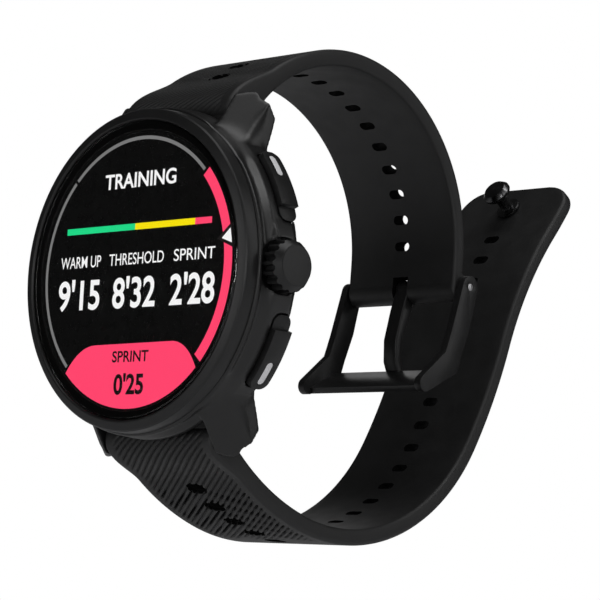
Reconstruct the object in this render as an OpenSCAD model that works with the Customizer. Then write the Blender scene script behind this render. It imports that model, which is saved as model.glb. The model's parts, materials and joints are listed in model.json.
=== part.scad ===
// GPS running watch: round case with two buttons and a crown, and a two-piece strap with a pin buckle.
// Frame: +X towards 3 o'clock, +Y from the glass to the wrist, +Z towards 12 o'clock.
// The origin is the centre of the flat sensor window that rests on the skin. Millimetres.

/* [Case] */
// Outer radius of the bezel at its front edge
bezel_r = 22.6; // [22.3:0.1:22.8]
// Radius of the case wall
case_r = 23.3; // [23.1:0.1:23.5]
// Distance from the glass front to the skin
case_depth = 11.5; // [11.5:0.1:12.5]
// Radius of the cavity that holds the electronics
cavity_r = 19.2; // [19:0.1:19.4]
// Radius of the cover glass
glass_r = 20.9; // [20.7:0.1:21]
// Thickness of the cover glass
glass_t = 1.2; // [1:0.1:1.3]

/* [Lugs] */
// Width of the strap between the lugs
strap_w = 22; // [20:1:22]
// Height of each strap bar above the centre of the case
bar_z = 23.2; // [23:0.1:23.4]
// Depth of each strap bar in front of the skin face
bar_y = -2.4; // [-2.6:0.1:-2.4]
// Outer radius of the strap bar's tube
bar_r = 0.9; // [0.8:0.05:1]
// Radius of the strap bar's tips
tip_r = 0.4; // [0.35:0.05:0.5]

/* [Crown and buttons] */
// Radius of the crown's grip
crown_r = 3.6; // [3.3:0.1:3.7]
// Depth of the crown's axis in front of the skin face
crown_y = -4.7; // [-4.9:0.1:-4.5]
// Travel of the crown when it is pressed
crown_travel = 0.5; // [0.3:0.1:0.5]
// Number of grip teeth on the crown
crown_teeth = 16; // [12:1:24]
// Angle of each button's centre above or below the crown
button_angle = 29.5; // [29:0.5:30]
// Half the angle that a button spans
button_half = 13.6; // [12:0.1:13.8]
// Travel of each button when it is pressed
button_travel = 0.4; // [0.2:0.1:0.4]

/* [Strap] */
// Thickness of the strap
strap_t = 2.4; // [2:0.1:2.4]
// Distance between the holes along the buckle strap
buckle_pitch = 4.24; // [4:0.02:4.3]
// Distance between the holes along the tail strap
tail_pitch = 4.3; // [4:0.02:4.3]
// Length of each hole across the strap
hole_w = 2.9; // [2.6:0.1:3.4]
// Height of each hole along the strap
hole_h = 1.5; // [1.4:0.1:1.9]
// Number of holes in the buckle strap
buckle_holes = 14; // [10:1:14]
// Number of holes in the tail strap
tail_holes = 22; // [18:1:22]

/* [Buckle] */
// Radius of the buckle pin
pin_r = 0.55; // [0.5:0.05:0.8]
// Width of the buckle frame across its arms
buckle_w = 25.2; // [25:0.1:26]
// Thickness of each buckle arm
arm_t = 1.2; // [1:0.1:1.2]
// Width of the buckle tongue
tongue_w = 2.6; // [2.2:0.1:2.8]
// Radius of the stud's head
stud_head_r = 2.3; // [2:0.1:2.5]

/* [Hidden] */
$fn = 96;
e = 0.01;

// Levels along Y, from the glass to the skin
front_y = -case_depth;
glass_y = front_y + 0.05;
ledge_y = glass_y + glass_t + 0.2;
case_top_y = front_y + 2.35;
board_y = front_y + 3.95;
board_t = 0.8;
battery_y = -5.1;
battery_t = 2.5;
cover_y = -1.9;
cover_t = 1;
case_back_y = -1.3;
sensor_y = -2.45;

// Radii inside the case
ledge_r = 19.7;
panel_r = 19.3;
board_r = 18;
frame_r = 18.9;
cover_r = 20.5;
island_r = 14.2;
window_r = 8.5;
boss_pos_r = 17.5;
boss_r = 1.5;
screw_angles = [45, 135, 225, 315];
motor_pos = [-4.5, -14];
motor_r = 3.1;

// Crown, from outside to inside along X
crown_face_x = 25.7;
crown_back_x = 22.5;
crown_pocket_x = 21.8;
crown_pocket_r = crown_r + 0.27;
shaft_r = 1.2;
tube_r = 1.9;
tube_x = [17.8, 21.7];
shaft_x = 16.9;
plate_x = 16.45;
clip_t = 0.25;
clip_x = tube_x[0] - clip_t - 0.02;
seal_z = [2.2, 3.2];
run = 0.04;

// Buttons, in radii from the centre of the case
button_out_r = 24.1;
button_in_r = 21.4;
pocket_r = 20.95;
button_y = [-4.95, -1.75];
button_gap = 0.14;
stem_r = 0.8;
stem_in_r = 17.2;
stem_seal_r = 19.75;
stem_clip_r = 18.8;
button_mid_y = (button_y[0] + button_y[1]) / 2;
button_l = 10.9;
button_end_r = 1.2;
step_depth = 0.75;
pad_angle = 5;
marker_angle = 6.8;
marker_l = 3.5;
marker_w = 1.05;

// Swelling of the wall about the crown
guard_out = 0.6;
guard_x = 9.4;
spring_r = 1.05;
spring_well_r = 1.35;
spring_well_in_r = 20.2;

// Strap paths: start point, start heading and arcs of [signed radius, turn in degrees]
block_r = 2.4;
buckle_start = [-1.1, 22.4];
buckle_heading = 57.8;
buckle_path = [[-25.2, 149.3], [-400, 0.65]];
tail_start = [-1.3, -23.7];
tail_heading = -46.6;
tail_path = [[37.4, 28.5], [30.5, 78], [84, 12], [-61, 20.2], [82, 6.7]];
tail_tip_r = 4.2;
pin_pos = [46.2, 3.8];
foot_pos = [37, -11.6];
loop_r = 2.1;
buckle_hole_s = 8.3;
tail_hole_s = 7.3;
stud_s = 104.5;
lever_travel = 1.4;
lever_x = 6.5;
lever_r = 0.5;
lever_out = 3;

// ---- helpers ----

// Turns a shape that stands along +Z to stand along +Y; its own y then points to -Z
module along_y(y = 0) { translate([0, y, 0]) rotate([-90, 0, 0]) children(); }

// Turns a shape that stands along +Z to stand along +X, at height z and depth y
module along_x(x, y, z = 0) { translate([x, y, z]) rotate([0, 90, 0]) children(); }

// Extrudes an outline drawn in Y and Z between two X positions
module plate(x0, x1) { translate([x0, 0, 0]) rotate([90, 0, 90]) linear_extrude(x1 - x0) children(); }

// Extrudes an outline drawn in X and Z between two Y positions
module slab(y0, y1) { translate([0, y1, 0]) rotate([90, 0, 0]) linear_extrude(y1 - y0) children(); }

// A disc and a ring about the Y axis
module disc(r, y0, y1) { along_y(y0) cylinder(r = r, h = y1 - y0); }
module ring(r0, r1, y0, y1) { difference() { disc(r1, y0, y1); disc(r0, y0 - 1, y1 + 1); } }

// A rounded rectangle in the plane of the glass
module pad(x, z, w, h, r) {
    translate([x, z]) union() {
        square([w, h - 2 * r], center = true);
        square([w - 2 * r, h], center = true);
        for (i = [-1, 1], j = [-1, 1]) translate([i * (w / 2 - r), j * (h / 2 - r)]) circle(r);
    }
}

// A wedge about the origin between two angles less than 180 degrees apart
module wedge(a0, a1, r) {
    m = (a0 + a1) / 2;
    polygon([[0, 0], r * [cos(a0), sin(a0)], 1.6 * r * [cos(m), sin(m)], r * [cos(a1), sin(a1)]]);
}

// A curved bar between two radii and two angles
module sector(r0, r1, a0, a1) {
    intersection() {
        difference() { circle(r1); circle(r0); }
        wedge(a0, a1, 3 * r1);
    }
}

// Turns a shape about the Y axis, so that its own +X points to angle a above 3 o'clock
module at_angle(a) { rotate([0, -a, 0]) children(); }

// A coil spring along Z with closed flat ends left open
module coil(r, wire, pitch, turns) {
    sides = 6;
    steps = 14;
    n = round(turns * steps);
    rings = [for (i = [0:n], j = [0:sides - 1])
        let (a = 360 * i / steps, b = 360 * j / sides, q = r + wire * cos(b))
        [q * cos(a), q * sin(a), pitch * i / steps + wire * sin(b)]];
    walls = [for (i = [0:n - 1], j = [0:sides - 1])
        let (k = (j + 1) % sides)
        [i * sides + j, i * sides + k, (i + 1) * sides + k, (i + 1) * sides + j]];
    caps = [[for (j = [sides - 1:-1:0]) j], [for (j = [0:sides - 1]) n * sides + j]];
    polyhedron(rings, concat([for (w = walls) [w[3], w[2], w[1], w[0]]], [for (c = caps) [for (k = [len(c) - 1:-1:0]) c[k]]]));
}

// ---- strap paths ----

function left(h) = [-sin(h), cos(h)];
function centre(p, h, r) = p + r * left(h);
function turned(h, arc) = h + sign(arc[0]) * arc[1];
function end_of(p, h, arc) = centre(p, h, arc[0]) - arc[0] * left(turned(h, arc));
function arc_len(arc) = abs(arc[0]) * arc[1] * PI / 180;

// Point and heading at distance s along a path
function at(p, h, path, s, i = 0) =
    let (arc = path[i], l = arc_len(arc))
    s <= l || i == len(path) - 1
        ? let (part = [arc[0], s / abs(arc[0]) * 180 / PI])
          [end_of(p, h, part), turned(h, part)]
        : at(end_of(p, h, arc), turned(h, arc), path, s - l, i + 1);

// The strap's outline in Y and Z: one curved bar for each arc
module band(p, h, path, i = 0) {
    if (i < len(path)) {
        arc = path[i];
        c = centre(p, h, arc[0]);
        r = abs(arc[0]);
        a0 = h - sign(arc[0]) * 90;
        a1 = turned(h, arc) - sign(arc[0]) * 90;
        translate(c) sector(r - strap_t / 2, r + strap_t / 2, min(a0, a1), max(a0, a1));
        band(end_of(p, h, arc), turned(h, arc), path, i + 1);
    }
}

// Puts a shape on the strap at distance s: its x runs along the strap and its y away from the strap
module on_strap(p, h, path, s) {
    q = at(p, h, path, s);
    translate([0, q[0][0], q[0][1]]) rotate([q[1], 0, 0]) children();
}

// Rounded holes through a strap, with their length across it
module strap_holes(p, h, path, first, count, pitch) {
    for (i = [0:count - 1]) on_strap(p, h, path, first + i * pitch)
        linear_extrude(3 * strap_t, center = true) pad(0, 0, hole_w, hole_h, hole_h / 2 - 0.1);
}

// ---- case ----

module bezel() {
    color("dimgray") along_y() rotate_extrude() polygon([
        [glass_r + run, glass_y + 0.25], [glass_r + 0.25, front_y], [glass_r + 0.45, front_y],
        [bezel_r - 0.2, front_y + 0.32], [bezel_r, front_y + 0.55], [bezel_r + 0.15, case_top_y], [ledge_r, case_top_y],
        [ledge_r, ledge_y], [glass_r + run, ledge_y]]);
}

module cover_glass() {
    color("black", 0.4) along_y(glass_y) rotate_extrude()
        polygon([[0, 0], [glass_r - 0.2, 0], [glass_r, 0.2], [glass_r, glass_t], [0, glass_t]]);
}

module glass_seal() { color("darkslategray") ring(ledge_r, glass_r - 0.1, glass_y + glass_t, ledge_y); }

module display_panel() { color("black") disc(panel_r, glass_y + glass_t + 0.05, glass_y + 2.4); }

module display_plate() {
    color("silver") difference() {
        disc(panel_r, glass_y + 2.45, glass_y + 2.75);
        slab(front_y, 0) translate([0, -17]) square([10.4, 9], center = true);
    }
}

module display_flex() {
    y0 = glass_y + 2.42;
    color("orange") plate(-4.5, 4.5) {
        translate([y0, -17.6]) square([0.14, 4]);
        translate([y0, -17.74]) square([board_y - y0 - 0.05, 0.14]);
        translate([board_y - 0.19, -17.6]) square([0.14, 3]);
    }
}

// One horn at +X and +Z, before the pin hole
module horn() {
    inner_x = strap_w / 2 + 0.15;
    intersection() {
        difference() {
            plate(inner_x, 15.6) polygon([
                [-8.4, 12], [-8.4, 24.2], [-4, 26.2], [-2.1, 25.8], [-1.8, 24.2], [-0.1, 21.6], [-0.6, 19.6],
                [-1.3, 17.3], [-1.3, 12]]);
            // the front face slopes back towards the tip and towards the side
            translate([inner_x, -5.9, 22.4]) rotate([-26.4, 0, 39.7]) translate([-30, -60, -30]) cube(60);
        }
        // seen from the front, the tip is rounded towards the side of the case
        slab(-9, 1) polygon([[11, 10], [15.6, 10], [15.6, 23.6], [14.7, 24.8], [13.2, 25.5], [11, 25.1]]);
    }
}

// The wall of the case, from the bezel's seat to the back cover's seat
module case_wall() {
    along_y() rotate_extrude() polygon([
        [ledge_r - 0.2, case_top_y], [bezel_r + 0.25, case_top_y], [bezel_r + 0.5, case_top_y + 0.25],
        [bezel_r + 0.5, case_top_y + 0.55], [bezel_r + 0.1, case_top_y + 0.95],
        [bezel_r + 0.1, case_top_y + 1.55], [case_r, case_top_y + 2.7], [case_r, case_back_y - 1.2],
        [case_r - 0.5, case_back_y - 0.4], [case_r - 2, case_back_y], [cover_r + 0.1, case_back_y],
        [cover_r + 0.1, cover_y], [cavity_r, cover_y], [cavity_r, case_top_y + 0.6],
        [ledge_r - 0.2, case_top_y + 0.6]]);
}

// The wall swells out on both sides of the crown, as a disc about an axis nearer to the crown
module crown_guard() {
    r = case_r + guard_out - guard_x;
    translate([guard_x, 0, 0]) along_y() rotate_extrude() polygon([
        [r - 6, case_top_y + 1.6], [r - 1.2, case_top_y + 1.6], [r, case_top_y + 2.9],
        [r, case_back_y - 1.6], [r - 0.8, case_back_y - 0.5], [r - 6, case_back_y - 0.5]]);
}

// A screw boss with a web to the wall
module boss(grow, y0, y1) {
    r = boss_r + grow;
    translate([boss_pos_r, 0, 0]) disc(r, y0, y1);
    translate([boss_pos_r, y0, -r]) cube([2, y1 - y0, 2 * r]);
}

// Room for a strap end behind the front rim, between the horns
module strap_room() {
    half = strap_w / 2 + 0.15;
    r = block_r + 0.4;
    plate(-half, half) union() {
        polygon([[-5.3, bar_z - r], [-5.3, 30], [2, 30], [2, bar_z - r]]);
        translate([bar_y, bar_z]) circle(r);
    }
    along_x(-half - 1.9, bar_y, bar_z) cylinder(r = tip_r + 0.05, h = 2 * half + 3.8);
}

module mid_case() {
    color("dimgray") difference() {
        union() {
            difference() {
                union() {
                    case_wall();
                    crown_guard();
                    for (i = [0, 1], j = [0, 1]) mirror([i, 0, 0]) mirror([0, 0, j]) horn();
                }
                disc(cavity_r, case_top_y + 0.6, cover_y);
                disc(cover_r + 0.1, cover_y, 1);
            }
            for (a = screw_angles) at_angle(a) boss(0, board_y + board_t, cover_y);
        }
        for (j = [0, 1]) mirror([0, 0, j]) strap_room();
        for (a = screw_angles) at_angle(a) translate([boss_pos_r, 0, 0]) disc(0.5, -5, 1);
        // crown pocket and the bore for its tube
        along_x(crown_pocket_x, crown_y) cylinder(r = crown_pocket_r, h = 5);
        along_x(15, crown_y) cylinder(r = tube_r, h = 10);
        // button pockets, spring wells and stem bores
        for (s = [-1, 1]) at_angle(s * button_angle) {
            intersection() {
                slab(button_y[0] - button_gap, button_y[1] + button_gap) sector(pocket_r, 30, -20, 20);
                button_prism(button_gap);
            }
            along_x(spring_well_in_r, button_mid_y) cylinder(r = spring_well_r, h = 5);
            along_x(15, button_mid_y) cylinder(r = stem_r + run, h = 10);
        }
        // pressure port and the seat of its vent
        along_x(-30, crown_y) cylinder(r = 0.6, h = 15);
        along_x(-20.4, crown_y) cylinder(r = 1.3, h = 5);
    }
}

// A tray that carries the battery, with a rim that stands on the main board
module chassis() {
    color("dimgray") difference() {
        union() {
            ring(frame_r - 0.7, frame_r, board_y + board_t, cover_y - 0.4);
            disc(frame_r, battery_y - 0.3, battery_y);
        }
        for (a = screw_angles) at_angle(a) boss(0.2, -9, 0);
        for (a = [-button_angle, 0, button_angle]) at_angle(a) translate([12.6, -9, -2.8]) cube([10, 9, 5.6]);
        along_x(-25, crown_y) cylinder(r = 1.6, h = 8);
        translate([motor_pos[0], 0, motor_pos[1]]) disc(motor_r + 0.2, -9, 0);
        slab(-9, 0) translate([-2, 1.5]) square([16, 16], center = true);
    }
}

module main_board() { color("darkgreen") disc(board_r, board_y, board_y + board_t); }

module board_chips() {
    color("black") for (c = [[-8, 6, 5, 5], [3, 8, 4, 3], [9, -3, 3, 5], [-9, -5, 4, 4], [1, -3, 6, 6]])
        slab(board_y - 0.6, board_y) translate([c[0], c[1]]) square([c[2], c[3]], center = true);
}

module processor_shield() {
    y0 = board_y + board_t;
    color("silver") difference() {
        slab(y0, y0 + 1.1) pad(-2, 1, 15, 14, 1);
        slab(y0 - 1, y0 + 0.95) pad(-2, 1, 14.6, 13.6, 0.8);
    }
}

module battery() { color("steelblue") slab(battery_y, battery_y + battery_t) pad(-2, 1, 20, 20, 2.5); }

module gnss_antenna() { color("goldenrod") slab(board_y - 0.5, board_y + 0.3) sector(board_r, board_r + 0.5, 55, 125); }

module vibration_motor() {
    color("silver") translate([motor_pos[0], 0, motor_pos[1]]) disc(motor_r, board_y + board_t, board_y + board_t + 2.7);
}

module sounder() {
    color("goldenrod") translate([5, 0, -14]) {
        disc(3, board_y + board_t, board_y + board_t + 0.5);
        disc(2.2, board_y + board_t + 0.5, board_y + board_t + 0.9);
    }
}

module pressure_vent() { color("lightgray") along_x(-20.35, crown_y) cylinder(r = 1.25, h = 0.9); }

module back_gasket() { color("black") ring(cavity_r + 0.3, cavity_r + 0.9, cover_y - 0.25 + 0.25, cover_y + 0.25); }

module back_cover() {
    color("dimgray") difference() {
        union() {
            disc(cover_r, cover_y, cover_y + cover_t);
            along_y(cover_y + cover_t) rotate_extrude()
                polygon([[0, 0], [island_r + 0.5, 0], [island_r - 0.3, 0.8], [0, 0.8]]);
        }
        ring(cavity_r + 0.3, cavity_r + 0.9, cover_y - 1, cover_y + 0.25);
        disc(window_r, -5, 1);
        disc(window_r + 1, -5, cover_y + 0.4);
        for (a = screw_angles) at_angle(a) translate([boss_pos_r, 0, 0]) {
            disc(0.7, -5, 1);
            disc(1.1, cover_y + 0.5, 1);
        }
        for (x = contact_x) translate([x, 0, contact_z]) disc(0.9, -5, 1);
    }
}

contact_x = [-4.2, -1.4, 1.4, 4.2];
contact_z = -11.4;

module back_screws() {
    color("silver") for (a = screw_angles) at_angle(a) translate([boss_pos_r, 0, 0]) difference() {
        union() {
            disc(0.5, -4.6, cover_y + 0.5);
            disc(1.05, cover_y + 0.5, cover_y + 1);
        }
        slab(cover_y + 0.7, 0) square([0.4, 1.4], center = true);
        slab(cover_y + 0.7, 0) square([1.4, 0.4], center = true);
    }
}

module sensor_window() {
    color("black") union() {
        disc(window_r, cover_y + 0.4, -0.25);
        along_y(-0.25) rotate_extrude() polygon([[0, 0], [window_r, 0], [window_r - 0.4, 0.25], [0, 0.25]]);
        ring(window_r - 1, window_r + 0.9, cover_y, cover_y + 0.4);
    }
}

module sensor_board() { color("darkgreen") disc(window_r - 1.2, sensor_y, sensor_y + 0.5); }

module sensor_leds() {
    color("palegreen") for (a = [90, 210, 330]) at_angle(a) translate([3.6, 0, 0])
        slab(sensor_y + 0.5, cover_y + 0.35) square([1.6, 1.2], center = true);
}

module photodiodes() {
    color("slategray") for (a = [30, 150, 270]) at_angle(a) translate([3.8, 0, 0])
        slab(sensor_y + 0.5, cover_y + 0.3) square([2, 2.4], center = true);
}

module charging_contacts() {
    color("gold") for (x = contact_x) translate([x, 0, contact_z]) union() {
        disc(0.9, cover_y + 0.1, cover_y + cover_t + 0.75);
        disc(1.2, cover_y - 0.3, cover_y);
        disc(0.9, cover_y - 0.01, cover_y + 0.11);
    }
}

// ---- crown ----

module crown_tube() {
    color("silver") along_x(tube_x[0], crown_y) difference() {
        cylinder(r = tube_r, h = tube_x[1] - tube_x[0]);
        translate([0, 0, -1]) cylinder(r = shaft_r + run, h = 9);
    }
}

module crown_switch() {
    color("black") union() {
        translate([13, crown_y - 1.4, -1.6]) cube([1.6, 2.8, 3.2]);
        along_x(14.5, crown_y) cylinder(r = 0.6, h = 1.35);
    }
}

module crown_thrust_plate() { color("silver") along_x(plate_x, crown_y) cylinder(r = 1.8, h = shaft_x - plate_x - 0.04); }

module crown_spring() { color("silver") along_x(plate_x - 1.03, crown_y) coil(1.3, 0.13, 0.3, 3); }

module crown_knob() {
    color("dimgray") difference() {
        along_x(crown_back_x, crown_y) rotate_extrude() polygon([
            [0, 0], [crown_r - 0.3, 0], [crown_r, 0.3], [crown_r, 2], [crown_r - 0.12, 2.35],
            [crown_r - 0.34, crown_face_x - crown_back_x], [0, crown_face_x - crown_back_x]]);
        // grip notches round the rim, which end before the face
        along_x(crown_back_x - 1, crown_y) for (i = [0:crown_teeth - 1])
            rotate([0, 0, (i + 0.5) * 360 / crown_teeth]) translate([crown_r + 0.14, 0, 0]) cylinder(r = 0.42, h = 3.1);
        along_x(crown_back_x - 1, crown_y) cylinder(r = shaft_r, h = 2.9);
    }
}

module crown_shaft() {
    color("silver") along_x(shaft_x, crown_y) difference() {
        cylinder(r = shaft_r, h = crown_back_x + 1.9 - shaft_x);
        for (z = seal_z) translate([0, 0, z]) groove(shaft_r - 0.36, 0.4);
        translate([0, 0, clip_x - shaft_x]) groove(shaft_r - 0.3, clip_t);
    }
}

// A ring-shaped cut about Z, from radius r outwards
module groove(r, h) {
    difference() {
        cylinder(r = 3, h = h);
        translate([0, 0, -1]) cylinder(r = r, h = h + 2);
    }
}

module crown_seals() {
    color("black") along_x(shaft_x, crown_y) for (z = seal_z) translate([0, 0, z + 0.2])
        rotate_extrude() translate([shaft_r - 0.17, 0]) circle(0.17);
}

module crown_clip() {
    color("silver") along_x(clip_x, crown_y) difference() {
        cylinder(r = 1.7, h = clip_t);
        translate([0, 0, -1]) cylinder(r = shaft_r - 0.3, h = 3);
        translate([0, -0.6, -1]) cube([3, 1.2, 3]);
    }
}

// ---- buttons: s is 1 above the crown and -1 below it ----

// The button's outline seen from the side, rounded at its corners
module button_prism(grow) {
    translate([button_in_r - 2, button_mid_y, 0]) rotate([0, 90, 0]) linear_extrude(8)
        pad(0, 0, button_l + 2 * grow, button_y[1] - button_y[0] + 2 * grow, button_end_r + grow);
}

// The cap's outline seen from the front, about the angle of its own centre
module cap_outline(s) {
    a = button_half;
    pad_end = s * (pad_angle - a);
    difference() {
        sector(button_in_r, button_out_r, -a, a);
        // a lower step at the end next to the crown
        sector(button_out_r - step_depth, 30, min(pad_end, -2 * s * a), max(pad_end, -2 * s * a));
    }
}

module button_cap(s) {
    color("dimgray") at_angle(s * button_angle) difference() {
        intersection() {
            slab(button_y[0], button_y[1]) cap_outline(s);
            button_prism(0);
        }
        along_x(button_in_r - 1, button_mid_y) cylinder(r = stem_r, h = 2);
        marker_cut(s, button_out_r - 0.4, 0.02);
    }
}

// A capsule on the cap's outer face near the end away from the crown
module marker_cut(s, r0, grow) {
    intersection() {
        slab(button_y[0], button_y[1]) sector(r0, button_out_r + 2, -button_half, button_half);
        at_angle(s * marker_angle) translate([r0 - 1, button_mid_y, 0]) rotate([0, 90, 0])
            linear_extrude(6) pad(0, 0, marker_l + grow, marker_w + grow, marker_w / 2 - 0.01);
    }
}

module button_marker(s) {
    color("white") at_angle(s * button_angle) intersection() {
        marker_cut(s, button_out_r - 0.4, 0);
        slab(-9, 0) circle(button_out_r);
    }
}

module button_stem(s) {
    color("silver") at_angle(s * button_angle) along_x(stem_in_r, button_mid_y) difference() {
        cylinder(r = stem_r, h = button_in_r + 0.9 - stem_in_r);
        translate([0, 0, stem_seal_r - stem_in_r - 0.17]) groove(stem_r - 0.3, 0.34);
        translate([0, 0, stem_clip_r - stem_in_r]) groove(stem_r - 0.25, clip_t);
    }
}

module button_seal(s) {
    color("black") at_angle(s * button_angle) along_x(stem_seal_r, button_mid_y)
        rotate_extrude() translate([stem_r - 0.14, 0]) circle(0.14);
}

module button_clip(s) {
    color("silver") at_angle(s * button_angle) along_x(stem_clip_r, button_mid_y) difference() {
        cylinder(r = 1.4, h = clip_t);
        translate([0, 0, -1]) cylinder(r = stem_r - 0.25, h = 3);
        translate([0, -0.5, -1]) cube([3, 1, 3]);
    }
}

module button_spring(s) {
    color("silver") at_angle(s * button_angle) along_x(button_in_r - 0.72, button_mid_y) coil(spring_r, 0.1, 0.2, 3);
}

module side_switch(s) {
    color("black") at_angle(s * button_angle) union() {
        translate([14.8, button_mid_y - 1.1, -1.5]) cube([1.5, 2.2, 3]);
        along_x(16.2, button_mid_y) cylinder(r = 0.5, h = 0.5);
    }
}

module upper_button_cap() { button_cap(1); }
module upper_button_marker() { button_marker(1); }
module upper_button_stem() { button_stem(1); }
module upper_button_seal() { button_seal(1); }
module upper_button_clip() { button_clip(1); }
module upper_button_spring() { button_spring(1); }
module upper_switch() { side_switch(1); }
module lower_button_cap() { button_cap(-1); }
module lower_button_marker() { button_marker(-1); }
module lower_button_stem() { button_stem(-1); }
module lower_button_seal() { button_seal(-1); }
module lower_button_clip() { button_clip(-1); }
module lower_button_spring() { button_spring(-1); }
module lower_switch() { side_switch(-1); }

// ---- straps: z is 1 for the end at 12 o'clock and -1 for 6 o'clock ----

// The bore for the bar and the slot for its lever, on the skin side
module bar_space(z) {
    along_x(-strap_w / 2 - 1, bar_y, z * bar_z) cylinder(r = bar_r, h = strap_w + 2);
    translate([lever_x - lever_r - lever_travel - 0.2, bar_y, z * bar_z]) rotate([-z * 30, 0, 0])
        translate([0, 0, -lever_r - 0.15]) cube([2 * lever_r + lever_travel + 0.4, 6, 2 * lever_r + 0.3]);
}

module strap_bar(z) {
    color("silver") along_x(-strap_w / 2, bar_y, z * bar_z) difference() {
        union() {
            cylinder(r = bar_r, h = strap_w);
            translate([0, 0, -1.3]) cylinder(r = tip_r, h = 2);
        }
        translate([0, 0, strap_w - 8]) cylinder(r = tip_r + 0.05, h = 10);
    }
}

// The sprung tip at +X with the lever that draws it in
module strap_lever(z) {
    color("silver") union() {
        along_x(strap_w / 2 - 5.5, bar_y, z * bar_z) cylinder(r = tip_r, h = 6.8);
        translate([lever_x, bar_y, z * bar_z]) rotate([-z * 30, 0, 0]) along_y(0) cylinder(r = lever_r, h = lever_out);
    }
}

// Room in the bar's tube for the lever
module lever_slot(z) {
    translate([lever_x - lever_r - lever_travel - 0.1, bar_y, z * bar_z]) rotate([-z * 30, 0, 0])
        translate([0, 0, -lever_r - 0.05]) cube([2 * lever_r + lever_travel + 0.2, 3, 2 * lever_r + 0.1]);
}

module buckle_strap_bar() { difference() { strap_bar(1); lever_slot(1); } }
module tail_strap_bar() { difference() { strap_bar(-1); lever_slot(-1); } }
module buckle_strap_lever() { strap_lever(1); }
module tail_strap_lever() { strap_lever(-1); }

module buckle_strap() {
    color("#2b2b2d") difference() {
        plate(-strap_w / 2, strap_w / 2) union() {
            band(buckle_start, buckle_heading, buckle_path);
            translate([bar_y, bar_z]) circle(block_r);
            translate(pin_pos) circle(loop_r);
        }
        bar_space(1);
        strap_holes(buckle_start, buckle_heading, buckle_path, buckle_hole_s, buckle_holes, buckle_pitch);
        along_x(-strap_w / 2 - 1, pin_pos[0], pin_pos[1]) cylinder(r = pin_r + run, h = strap_w + 2);
        // slot for the tongue
        translate([-tongue_w / 2 - 0.2, pin_pos[0] - 5, pin_pos[1] - 4]) cube([tongue_w + 0.4, 10, 5.95]);
    }
}

module tail_strap() {
    tip = at(tail_start, tail_heading, tail_path, path_len(tail_path));
    color("#2b2b2d") difference() {
        plate(-strap_w / 2, strap_w / 2) union() {
            band(tail_start, tail_heading, tail_path);
            translate([bar_y, -bar_z]) circle(block_r);
        }
        bar_space(-1);
        strap_holes(tail_start, tail_heading, tail_path, tail_hole_s, tail_holes, tail_pitch);
        on_strap(tail_start, tail_heading, tail_path, stud_s) cylinder(r = 1.1, h = 9, center = true);
        // rounded corners of the tip
        for (i = [0, 1]) mirror([i, 0, 0]) translate([0, tip[0][0], tip[0][1]]) rotate([tip[1], 0, 0])
            linear_extrude(12, center = true) translate([strap_w / 2 - tail_tip_r + 0.06, 0.06 - tail_tip_r]) difference() {
                square([tail_tip_r + 1, tail_tip_r + 3]);
                circle(tail_tip_r);
            }
    }
}

function path_len(path, i = 0) = i == len(path) ? 0 : arc_len(path[i]) + path_len(path, i + 1);

// The stud points to the skin side of the tail strap
module strap_stud() {
    color("silver") on_strap(tail_start, tail_heading, tail_path, stud_s) rotate_extrude() polygon([
        [0, -0.6], [1.1, -0.6], [1.1, strap_t / 2], [2, strap_t / 2], [2, strap_t / 2 + 0.4],
        [1, strap_t / 2 + 0.6], [1, 4.2], [stud_head_r - 0.2, 4.6], [stud_head_r, 4.9],
        [stud_head_r, 5.3], [1.8, 5.9], [0, 6.1]]);
}

module stud_backplate() {
    color("silver") on_strap(tail_start, tail_heading, tail_path, stud_s) union() {
        translate([0, 0, -strap_t / 2 - 0.4]) cylinder(r = 2.2, h = 0.4);
        translate([0, 0, -strap_t / 2 - 0.01]) cylinder(r = 1.1, h = 0.5);
    }
}

// ---- buckle ----

// Side view of an arm, from the pin to the bar
module arm_outline() {
    translate(pin_pos) circle(1.7);
    translate(foot_pos) circle(1.25);
    polygon([
        [pin_pos[0] - 1.6, pin_pos[1] + 0.5], [42.4, -3.1], [41.2, -6.5], foot_pos + [-0.8, 0.97],
        foot_pos + [0.56, -1.12], [43.9, -9.5], [44.7, -7], [46.4, -2.6], [pin_pos[0] + 1.7, pin_pos[1]]]);
}

module buckle_frame() {
    half = buckle_w / 2;
    color("#3a3a3c") difference() {
        union() {
            for (i = [0, 1]) mirror([i, 0, 0]) plate(half - arm_t, half) arm_outline();
            plate(-half, half) polygon([
                [42.8, -9], [43.2, -9.85], foot_pos + [0.56, -1.12], foot_pos + [0.13, -0.27]]);
        }
        along_x(-half - 1, pin_pos[0], pin_pos[1]) cylinder(r = pin_r, h = buckle_w + 2);
    }
}

module buckle_pin() {
    color("silver") along_x(-buckle_w / 2, pin_pos[0], pin_pos[1]) cylinder(r = pin_r, h = buckle_w);
}

module buckle_tongue() {
    color("#3a3a3c") difference() {
        plate(-tongue_w / 2, tongue_w / 2) union() {
            translate(pin_pos) circle(1.6);
            polygon([
                [pin_pos[0] - 1.55, pin_pos[1]], [43.6, 0.6], [42.4, -4.2], [42.55, -7.6], [43.35, -9.3],
                [43.5, -11.1], [43.9, -11.5], [44.3, -11.1], [44.3, -9], [43.85, -7.2], [43.9, -4.3],
                [45.7, 0.3], [pin_pos[0] + 0.9, 2.5]]);
        }
        along_x(-5, pin_pos[0], pin_pos[1]) cylinder(r = pin_r + run, h = 10);
    }
}

// ---- output ----

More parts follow.
